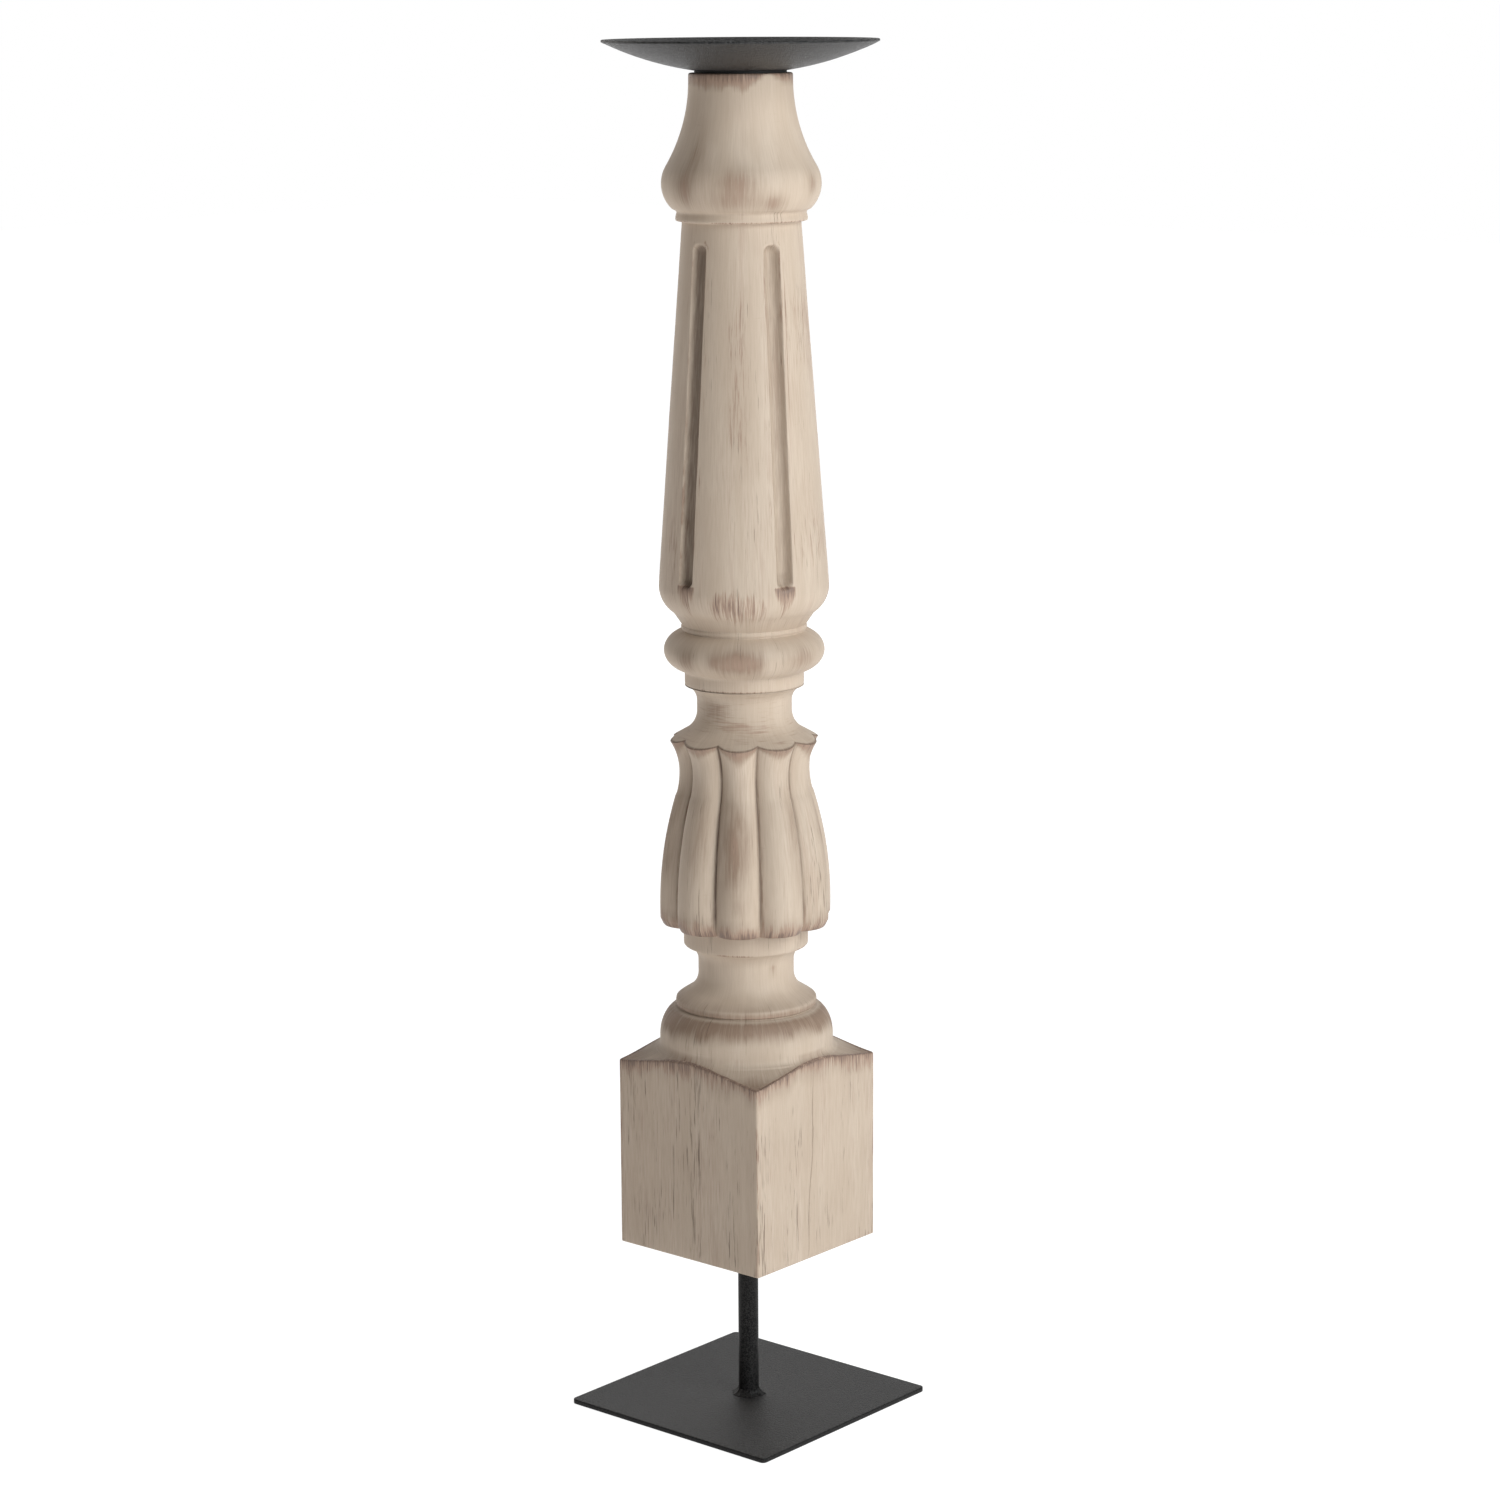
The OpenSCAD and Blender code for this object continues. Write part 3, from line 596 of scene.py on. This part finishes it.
def build_post(mat):
    build_rows()
    # Shaft, collar, vase
    shaft_zs = ([262.2, 263.2, 264, 264.8, 265.6, 266.4, 267.2, 268.4, 270, 273]
                + list(np.linspace(278, 378, 24))
                + [381, 384, 386, 387.2, 388, 388.8, 389.6, 390.4, 391.0, 391.5, 392.2, 394.5,
                   397.5, 398.9])
    for z in shaft_zs:
        add_row(SHAFT_R + (SHAFT_TOP_R - SHAFT_R) * (z - SHAFT_Z) / (SHAFT_TOP_Z - SHAFT_Z), z)
    add_path([(22.42, 399.3), (22.7, 399.40), (24.3, 399.42), (24.65, 399.52), (24.86, 399.8),
              (24.9, 400.3), (24.82, 401.0), (24.62, 401.7), (24.45, 402.4), (24.5, 402.8),
              (24.75, 403.15), (25.3, 403.5)], "collar")
    belly_x, hollow_x = VASE_R - VASE_ARC, VASE_NECK_R + VASE_NECK_ARC
    rise = math.sqrt((VASE_ARC + VASE_NECK_ARC) ** 2 - (hollow_x - belly_x) ** 2)
    meet = math.degrees(math.atan2(rise, hollow_x - belly_x))
    add_path(arc(belly_x, VASE_Z, VASE_ARC, -46, meet, 20), "vase")
    add_path(arc(hollow_x, VASE_Z + rise, VASE_NECK_ARC, 180 + meet, 180.6, 16)[1:])
    h = POST_H
    add_path([(VASE_NECK_R, h - 1.4), (VASE_NECK_R, h - 0.9), (19.52, h - 0.45),
              (19.3, h - 0.13), (18.9, h), (14, h), (8, h), (3.2, h), (3.1, h - 1.5)], "top")
    r, z = np.array(rows).transpose(1, 0, 2)
    n = np.arange(len(r))[:, None] + 0 * r
    on_shaft = (n >= marks["shaft"]) & (n < marks["collar"])
    a = np.where(on_shaft, flute_angles(r, z), A)
    cut, near = flute_cut(a, r, z)
    cut, near = np.where(on_shaft, cut, 0), np.where(on_shaft, near, 99.0)
    wave = Field(3, 9, 30)(a, z) * 0.10 + Field(4, 26, 9)(a, z) * 0.035
    out = r + wave * np.where(n > marks["side"], 1, 0) - cut
    # Each reed has a slightly different fullness
    reeds = (n >= marks["reeds"]) & (n < marks["rim"])
    full = np.array([0.1, -0.2, 0.15, 0.05, -0.15, 0.2, 0, -0.1, 0.12, -0.05])[REED_I]
    out = out + np.where(reeds, full * (1 - REED_U ** 2), 0)
    out = np.where(n < marks["side"] + 1, r, out)
    x, y = out * np.sin(np.radians(a)), -out * np.cos(np.radians(a))

    # The drying check on the +X face: a V cut that wanders as the grain does
    side = (n >= marks["side"] - 1) & (n <= marks["edge"]) & (x > HALF - 1.5)
    wander = (CHECK_Y + 1.5 * smooth(z, 10, 70) - 1.6 * smooth(-z, -45, -10)
              + 0.25 * np.sin(z / 5.5))
    near_check = hump(y, CHECK_Y, 5.0)
    y = np.where(side, y + (wander - CHECK_Y) * near_check, y)
    off = np.abs(a - (90 + math.degrees(math.atan(CHECK_Y / HALF))))
    in_check = side * (off < 0.2) * smooth(z, 1.5, 8) * (1 - 0.75 * smooth(z, 62, 72))
    x = x - in_check * (0.55 + 0.25 * np.sin(z / 3.1))
    verts = np.stack([x, y, z + BASE], -1).reshape(-1, 3)
    faces = grid_faces(len(r), len(A))
    masks = post_masks(a, out, z, n, near, cut, in_check)
    masks = {k: v.reshape(-1) for k, v in masks.items()}
    # Where the streaks are drawn: flat on the block, and on a cylinder above it
    on_block = n < marks["shoulder"] + 3
    skin_r = np.where(on_block, np.hypot(x, y), SKIN_R)
    at = np.radians(np.where(on_block, np.degrees(np.arctan2(x, -y)), a))
    skin = np.stack([skin_r * np.sin(at), -skin_r * np.cos(at), z], -1)
    masks["skin"] = skin.reshape(-1, 3) * MM
    add_piece("wooden_post", verts, faces, mat, "turned_post", masks)


def post_masks(a, r, z, n, near, cut, in_check):
    """How much of each kind of wear, and of painted shade, every vertex of the post has, for
    washed_wood().
    """
    v = turn_to(a, FRONT)
    slow, mid, quick = (Field(*f)(a, z) for f in ((13, 7, 40), (11, 14, 16), (12, 40, 7)))
    wear, dark, rub = np.zeros_like(r), np.zeros_like(r), np.zeros_like(r)
    pores, specks, soft = np.zeros_like(r), np.full_like(r, -0.45), np.zeros_like(r)

    def within(first, last):
        return (n >= marks[first]) & (n < marks[last])

    def up(mask, where, value):
        return np.where(where, np.maximum(mask, value), mask)

    def patch(at, level, wide, tall):
        """A soft oval patch: at is measured from the front, wide in degrees, tall in mm."""
        return np.exp(-(turn_to(a, FRONT + at) / wide) ** 2 - ((z - level) / tall) ** 2)

    # Block: the top edge, deeper near the corners
    square = np.broadcast_to(SQUARE, r.shape)
    edge = shoulder(square)
    below = edge - z
    corner = smooth(square, 42, CORNER)
    side = (n >= marks["side"]) & (n <= marks["edge"])
    worn = 7.6 + 3.2 * quick + 1.5 * corner + 2.4 * mid
    wear = up(wear, side, np.clip(1.0 - below / worn, 0, 1.0))
    soft = up(soft, side, 0.8 * np.clip(1 - below / (10 + 4 * quick), 0, 1))
    inner = within("shoulder", "half_round")
    run = square - r
    worn = 2.6 + 6.0 * corner + 1.0 * mid + 0.8 * quick
    wear = up(wear, inner, np.clip(0.80 - run / worn, 0, 1))
    soft = up(soft, inner, (0.70 + 0.65 * corner)
              * np.clip(1.1 - run / (3.6 + 9.5 * corner + 1.5 * quick), 0, 1))
    wear = up(wear, (n > marks["edge"] - 2) & (n < marks["shoulder"] + 2), 0.95)
    soft = up(soft, inner & (r > MEET_X), 0.16)
    specks = np.where(inner & (r > MEET_X), -0.22 + 0.10 * corner * hump(run, 3, 7), specks)
    # Block: upright edges and the foot
    wear = up(wear, side, 0.62 * smooth(square, 49.0, 49.9) * (0.8 + 0.3 * quick))
    wear = up(wear, side, 0.45 * np.clip(1 - z / 2.0, 0, 1) * smooth(mid, -0.5, 0.5))
    pores = np.where(side, 0.048 + 0.04 * mid + 0.02 * smooth(-v, 0, 60), pores)
    # Painted shade: more soft brown on the faces left of the front, the side away from the key
    # lamp
    soft = up(soft, side, 0.10 + 0.14 * smooth(-v, 0, 50) + 0.08 * mid)
    # Half round: a worn belt on its upper part
    belt = smooth(z, 86.5, 91.5) * (1 - smooth(z, 94.9, 95.6))
    half_round = within("half_round", "lip")
    wear = up(wear, half_round, belt * (0.30 + 0.14 * mid))
    soft = up(soft, half_round,
              1.3 * smooth(z + 1.8 * quick + mid, 85.0, 92.0) * (1 - smooth(z, 94.6, 95.6)))
    lip = within("lip", "low_cove")
    wear = up(wear, lip, 0.70 * hump(z, 97.0, 0.75) * (0.85 + 0.25 * mid))
    soft = up(soft, lip, 1.0 * hump(z, 97.3, 1.5))
    # Painted shade: a dark line in the groove between the half round and the lip
    dark = up(dark, lip, 0.45 * hump(z, 96.35, 0.3))
    cove = within("low_cove", "low_band")
    soft = up(soft, within("lip", "low_band"), 0.45 * hump(z, 99.3, 1.6) * (1 + 0.5 * mid))
    soft = up(soft, cove, 0.8 * patch(34, 113.0, 5, 2.0))
    wear = up(wear, cove, 0.55 * patch(34, 113.5, 6, 2.2) + 0.25 * patch(150, 110, 14, 3))
    specks = np.where(cove, specks + 0.30 * patch(18, 106, 8, 2) + 0.08, specks)
    band = within("low_band", "bulb")
    wear = up(wear, band, 0.72 * hump(z, 120.4, 0.55) * smooth(mid, -0.7, 0.4))

    # Reeds
    u, which = np.broadcast_to(REED_U, r.shape), np.broadcast_to(REED_I, r.shape)
    reeds = within("bulb", "flare")
    foot_len = 6.0 + 2.5 * quick + 2.5 * (1 - u ** 2)
    up_reed = z - BULB_FOOT_Z
    wear = up(wear, reeds & (z < 150),
              np.clip(1.0 - up_reed / foot_len, 0, 0.95) * (1 - 0.55 * smooth(np.abs(u), 0.75, 1)))
    soft = up(soft, reeds & (z < 150), 0.9 * np.clip(1.0 - up_reed / (1.1 * foot_len), 0, 1))
    crest = np.array([0.42, 0.95, 0.55, 0.9, 0.3, 0.6, 0.35, 0.7, 0.4, 0.7])[which]
    crest_at = np.array([172, 164, 168, 166, 170, 160, 165, 155, 168, 162])[which]
    crest_u = np.array([0.3, -0.1, 0.6, 0.5, 0.3, -0.2, 0.1, 0.2, -0.1, 0.2])[which]
    patches = (hump(u, crest_u + 0.15 * quick, np.where(which == 1, 0.62, 0.42))
               * hump(z, crest_at + 5 * mid, 17 + 5 * quick))
    soft = up(soft, reeds, 1.3 * crest * patches)
    wear = up(wear, reeds, 0.45 * crest * hump(u, crest_u, 0.30) * hump(z, crest_at, 11))
    rim_z = np.broadcast_to(rows[marks["rim"]][1], r.shape)
    under = rim_z - z
    worn = 0.8 + 5.2 * (1 - np.abs(u - 0.05)) * (0.75 + 0.5 * (which % 2))
    tongue = np.clip(1.05 - under / worn, 0, 1) * smooth(under, -1, 0.5)
    wear = up(wear, reeds, tongue * 0.72)
    soft = up(soft, reeds, tongue * 1.5)
    # Painted shade: a dark line along the rim, under the flare
    dark = up(dark, within("rim", "flare"), 0.62)
    # Painted shade: dark creases in the valleys, darkest in the valley left of the front
    crease = hump(np.abs(u), 1, 0.075) * smooth(z, 130, 138)
    dark = up(dark, reeds, crease * (0.62 + 0.3 * hump(v, -24, 14)))
    wear = up(wear, reeds, 0.40 * hump(np.abs(u), 0.93, 0.05))
    flare = within("flare", "high_cove")
    wear = up(wear, flare, np.clip(0.8 - (z - rim_z) / 1.2, 0, 1))
    rub = np.where(within("flare", "high_band"),
                   0.85 * patch(-38, 214.5, 17, 2.6) + 0.58 * patch(-18, 209.5, 24, 1.8)
                   + 0.36 * patch(12, 208, 30, 2.2) + 0.34 + 0.12 * slow, rub)
    high_cove = within("flare", "high_band")
    soft = up(soft, high_cove, 0.75 * patch(-38, 214.8, 14, 2.4) + 0.22 * patch(-5, 209, 30, 3))
    pores = np.where(high_cove | cove, -0.12, pores)
    # Upper band, ring and fillet
    band = within("high_band", "ring")
    wear = up(wear, band,
              0.62 * hump(z, 223.1, 0.55) * smooth(slow + 0.7 * hump(v, -25, 30), -0.2, 0.5))
    # Painted shade: a dark line where the cove meets the band, left of the front
    dark = up(dark, band, 0.20 * hump(z, 222.95, 0.35) * hump(v, -22, 22))
    ring = within("ring", "fillet")
    belly = hump(z + 0.8 * quick, 235.6, 5.4) ** 1.5
    gaps = (0.75 * hump(v, -46, 9) + 1.25 * np.exp(-((v + 6 + 2 * quick) / 20) ** 4)
            + 0.66 * hump(v, 47, 15) + 0.8 * smooth(mid, -0.1, 0.5) * smooth(np.abs(v), 75, 95))
    worn = np.clip(belly * gaps, 0, 1)
    wear = up(wear, ring, 0.50 * worn)
    soft = up(soft, ring, 1.25 * worn)

    # Shaft: its foot, below the flutes, along their edges, and the middle of the front
    shaft = within("shaft", "collar")
    across = np.min([np.abs(turn_to(a, f)) for f in FLUTES], 0) * np.pi / 180 * 32
    worn = np.maximum(15 - 2.2 * across, 0.5)
    vee = (np.clip(1.15 - (264.6 - z) / worn, 0, 1) * (z < 264.8)
           * (1 - smooth(across, 3.6, 5.4)))
    wear = up(wear, shaft, 0.92 * vee)
    between = 0.66 * hump(z, 257.5, 7.5) * smooth(mid + 0.8 * hump(v, -5, 18), -0.2, 0.7)
    wear = up(wear, shaft, between)
    along = hump(near, 1.5, 0.5) * 0.42 + hump(near, 0.1, 0.35) * 0.40
    wear = up(wear, shaft, along * (0.65 + 0.5 * smooth(mid, -0.5, 0.6)) * (z > 262))
    # Painted shade: dark in the round lower ends of the flutes
    dark = up(dark, shaft, 0.42 * (1 - smooth(near, -1.5, 0.3)) * (z < 268.5))
    # Painted shade: dark inside the flutes, more in the flute left of the front
    dark = up(dark, shaft, (0.28 + 0.32 * hump(v, -42, 30)) * smooth(cut, 0.2, 2.4))
    specks = np.where(shaft, specks + 0.14 * (near < 0.2), specks)
    rising, ending = smooth(z, 285, 320), 1 - smooth(z, 365, 390)
    pores = np.where(shaft, -0.05 + 0.085 * hump(v, -4, 13) * rising + 0.02 * slow, pores)
    wear = up(wear, shaft, 0.36 * hump(v, -4, 11) * rising * ending)
    soft = up(soft, shaft, 0.24 * hump(v, -4, 12) * smooth(z, 280, 320) * ending)
    wear = up(wear, shaft, 0.36 * smooth(slow, 0.0, 0.8) * smooth(np.abs(v), 20, 60))

    # Collar, vase and top rim
    collar = within("collar", "vase")
    wear = up(wear, collar,
              0.66 * hump(z, 399.6, 0.5) * smooth(mid + 0.5 * hump(v, 20, 35), -0.2, 0.5))
    specks = np.where(within("collar", "top") & (z < 407),
                      specks + 0.34 * hump(z, 403.4, 1.3) + 0.27 * hump(z, 399.7, 0.6), specks)
    vase = within("vase", "top")
    pores = np.where(vase, -0.10, pores)
    clusters = (hump(v, -8, 20) + hump(v, -46, 16)) * hump(z, 425, 16)
    specks = np.where(vase, specks + 0.20 * clusters, specks)
    spots = (0.80 * patch(-46, 412, 8, 6) + 0.46 * patch(-40, 424, 9, 9)
            + 0.80 * patch(-3, 414.5, 15, 5.5) + 0.50 * patch(-8, 407.5, 24, 3.5)
            + 0.70 * patch(25, 407, 9, 3.2) + 0.62 * patch(62, 413.5, 6, 5)
            + 0.75 * smooth(mid, -0.1, 0.6) * smooth(np.abs(v), 80, 100) * hump(z, 412, 6))
    wear = up(wear, vase, 0.62 * np.clip(spots, 0, 0.85))
    soft = up(soft, vase, 1.15 * np.clip(spots, 0, 0.9))
    top = (n >= marks["vase"]) & (z > 430)
    reach = (5.6 + 2.6 * quick + 2.4 * hump(v, -8, 22) - 5.8 * hump(v, 32, 16)
             + 1.5 * hump(v, -50, 18))
    below = POST_H - z
    wear = up(wear, top, np.clip(1.12 - below / np.maximum(reach, 0.3), 0, 0.95))
    soft = up(soft, top, 1.1 * smooth(0.54 * reach - below, -2.0, 0.9))
    dark = np.maximum(dark, in_check)
    grain = np.where(n < marks["half_round"], 1.0, 0.8)
    grain = np.where(vase | ring | cove | high_cove | lip | half_round, 0.45, grain)
    return {"wear": wear, "dark": dark, "rub": rub, "pores": pores, "specks": specks,
            "grain": grain, "soft": soft}


# ---------------------------------------------------------------- the steel pieces
def build_plate(mat, shaded_edge_coat):
    hi = box_mm("base_plate")[1]
    half, t, corner, ease = hi[0], hi[2], 2.0, 0.35
    outline = []
    for q in range(4):
        for s in np.linspace(0, 90, 9):
            ang = math.radians(s + 90 * q)
            cx, cy = [(1, 1), (-1, 1), (-1, -1), (1, -1)][q]
            outline.append((cx * (half - corner), cy * (half - corner),
                            math.cos(ang), math.sin(ang)))
    outline = np.array(outline)
    levels = [(ease + 2.0, 0), (ease, 0), (ease * 0.3, ease * 0.3), (0, ease), (0, t - ease),
              (ease * 0.3, t - ease * 0.3), (ease, t), (ease + 0.6, t), (ease + 2.0, t)]
    verts = []
    for inset, z in levels:
        rad = max(corner - inset, 0.02)
        shift = max(inset - corner, 0)
        for cx, cy, c, s in outline:
            verts.append((cx - np.sign(cx) * shift + rad * c,
                          cy - np.sign(cy) * shift + rad * s, z))
    m = len(outline)
    faces = grid_faces(len(levels), m)
    faces.append(list(range(m))[::-1])
    faces.append([(len(levels) - 1) * m + k for k in range(m)])
    plate = add_piece("steel_plate", verts, faces, mat, "base_plate")
    # Painted shade: the side faces get the darker, less glossy stem coat
    plate.data.materials.append(shaded_edge_coat)
    for poly in plate.data.polygons:
        if abs(poly.normal.z) < 0.5:
            poly.material_index = 1


def build_weld(mat):
    r0, foot = 4.0, box_mm("stem_weld")[0][2]
    path = [(r0 - 0.2, foot), (r0 + 2.9, foot)]
    for s in np.linspace(0, 1, 12):
        hollow = 2.5 * (1 - math.sqrt(max(1 - s * s, 0))) * 0.6
        path.append((r0 + 2.9 - 2.7 * s, foot + 0.15 + hollow + 1.1 * s))
    path.append((r0 - 0.2, foot + 2.75))
    drops, lumps = Field(21, 15, 1), Field(22, 6, 1)

    def bend(a, r, z):
        size = (1 - 0.16 + 0.16 * drops(a, 0 * a) + 0.10 * lumps(a, 0 * a)
                - 0.10 * np.abs(np.sin(np.radians(a * 7.5))))
        size = size + 0.12 * hump(turn_to(a, FRONT + 62), 0, 24)
        out = r0 + (r - r0) * np.where(r > r0, np.minimum(size, 1.0), 1)
        return out, foot + (z - foot) * np.minimum(size, 1.0)

    lathe("weld_bead", path, 144, mat, "stem_weld", bend)


def build_dish(mat):
    lo, hi = box_mm("candle_dish")
    base, rim, bowl, floor_r, t = lo[2], hi[0], 120.0, 18.0, 1.2
    centre = base + math.sqrt(bowl ** 2 - floor_r ** 2)
    start = -math.degrees(math.acos(floor_r / bowl))
    end = -math.degrees(math.acos((rim - 0.6) / bowl))
    outer = arc(0, centre, bowl, start, end, 22)
    inner_start = -math.degrees(math.acos(floor_r / (bowl - t)))
    lift = base + t - (centre + (bowl - t) * math.sin(math.radians(inner_start)))
    inner = arc(0, centre + lift, bowl - t, end, inner_start, 22)
    top = hi[2]
    lip_r, lip_z = outer[-1]
    path = [(2.6, base), (8, base), (floor_r - 3, base), (floor_r - 0.6, base)] + outer
    path += [(rim - 0.12, lip_z + 0.22), (rim, lip_z + 0.48), (rim - 0.10, top - 0.16),
             (rim - 0.42, top - 0.02), (rim - 0.8, top - 0.02)]
    path += [p for p in inner if p[0] < rim - 1.2]
    path += [(floor_r - 0.6, base + t), (floor_r - 3, base + t), (8, base + t), (4.75, base + t),
             (4.52, base + t - 0.03), (2.6, base + t - 1.95)]

    def bend(a, r, z):
        wave = Field(31, 8, 10)(a, r) * 0.10 * smooth(r, 22, 50)
        return r, np.where(r < rim - 1.5, z + wave, z)

    lathe("dish", path, 288, mat, "candle_dish", bend)


# ---------------------------------------------------------------- put it together
wood, zinc, seal = washed_wood(), zinc_steel(), rubber()
coat = powder_coat("powder_coat", 0.38, 1.0, 1100, 0.00045)
dish_coat = powder_coat("dish_coat", 0.52, 0.8, 650, 0.0007)
# Darker, less glossy coat for the stem and weld; on the plate's side faces it is painted shade
stem_and_shaded_edge_coat = powder_coat("stem_and_shaded_edge_coat", 0.13, 0.7, 1900, 0.00010)
make_camera()
build_post(wood)
build_plate(coat, stem_and_shaded_edge_coat)
build_weld(stem_and_shaded_edge_coat)
build_dish(dish_coat)
for node, mat in (("stem_rod", stem_and_shaded_edge_coat), ("threaded_insert", zinc), ("dish_screw", zinc),
                  ("spacer_washer", seal)):
    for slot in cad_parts[node].material_slots:
        slot.material = mat

floor_mesh = bpy.data.meshes.new("floor")
FLOOR = 6                         # half the side of the floor
corners = [(-FLOOR, -FLOOR, 0), (FLOOR, -FLOOR, 0), (FLOOR, FLOOR, 0), (-FLOOR, FLOOR, 0)]
floor_mesh.from_pydata(corners, [], [(0, 1, 2, 3)])
floor_mesh.materials.append(floor_white())
floor = add_object("floor", floor_mesh)

world = bpy.data.worlds.new("studio")
bpy.context.scene.world = world
world.use_nodes = True
wn, wl = world.node_tree.nodes, world.node_tree.links
back = wn["Background"]
seen = wn.new("ShaderNodeLightPath")
level = wn.new("ShaderNodeMapRange")
level.inputs["To Min"].default_value = 0.01
level.inputs["To Max"].default_value = 1.0
wl.new(seen.outputs["Is Camera Ray"], level.inputs["Value"])
wl.new(level.outputs["Result"], back.inputs["Strength"])
back.inputs["Color"].default_value = (1, 1, 1, 1)
softbox("key", FRONT + 46, 1.5, 0.95, 1.3, 1.3, 30, (0.94, 0.98, 1.0))
softbox("backdrop", FRONT + 180, 1.8, 0.9, 4.0, 2.4, 24)
softbox("rim", FRONT - 130, 1.5, 0.95, 1.3, 1.3, 5, (1.0, 0.93, 0.85))
bpy.context.scene.view_settings.view_transform = "Standard"
